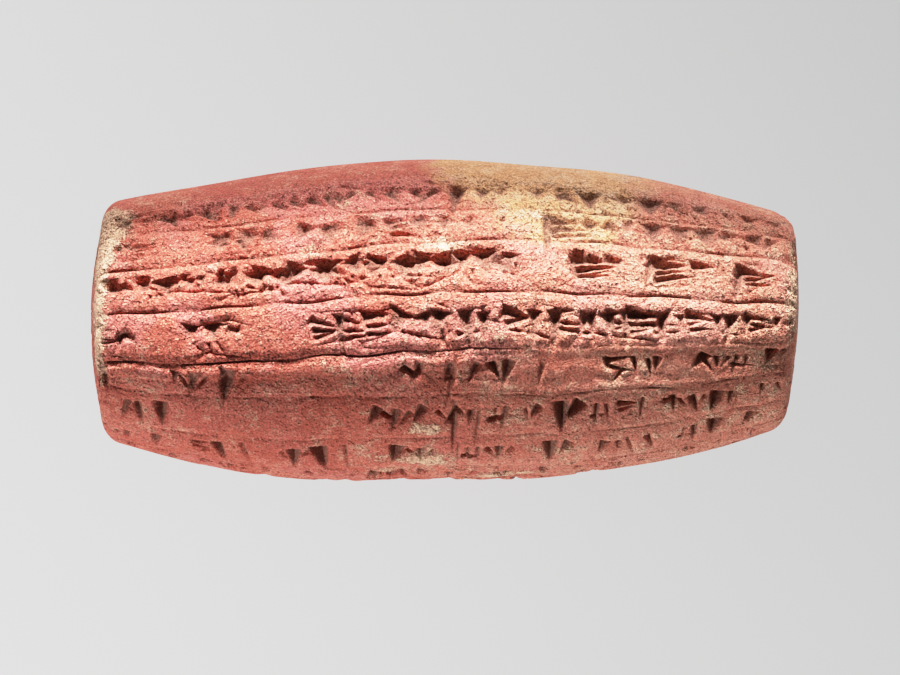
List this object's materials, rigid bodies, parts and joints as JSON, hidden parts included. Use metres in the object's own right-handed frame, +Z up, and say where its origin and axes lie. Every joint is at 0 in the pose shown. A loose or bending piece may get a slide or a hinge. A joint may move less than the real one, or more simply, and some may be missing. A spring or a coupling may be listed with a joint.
{
  "type": "cuneiform cylinder",
  "caption": "Barrel-shaped fired-clay cylinder with ruled rows of shallow wedge strokes along its length, lying on a small flat.",
  "frame": {"origin": "under the middle of the barrel, on the small flat that it rests on", "axes": "+X along the barrel, towards its narrower end; +Z up, away from the rest flat; +Y across the rows, towards the first row"},
  "size_m": [0.1131, 0.0519, 0.0517],
  "materials": {
    "clay_cylinder": "matte"
  },
  "bodies": {
    "root": {"clay_cylinder": "clay_cylinder"}
  },
  "joints": []
}
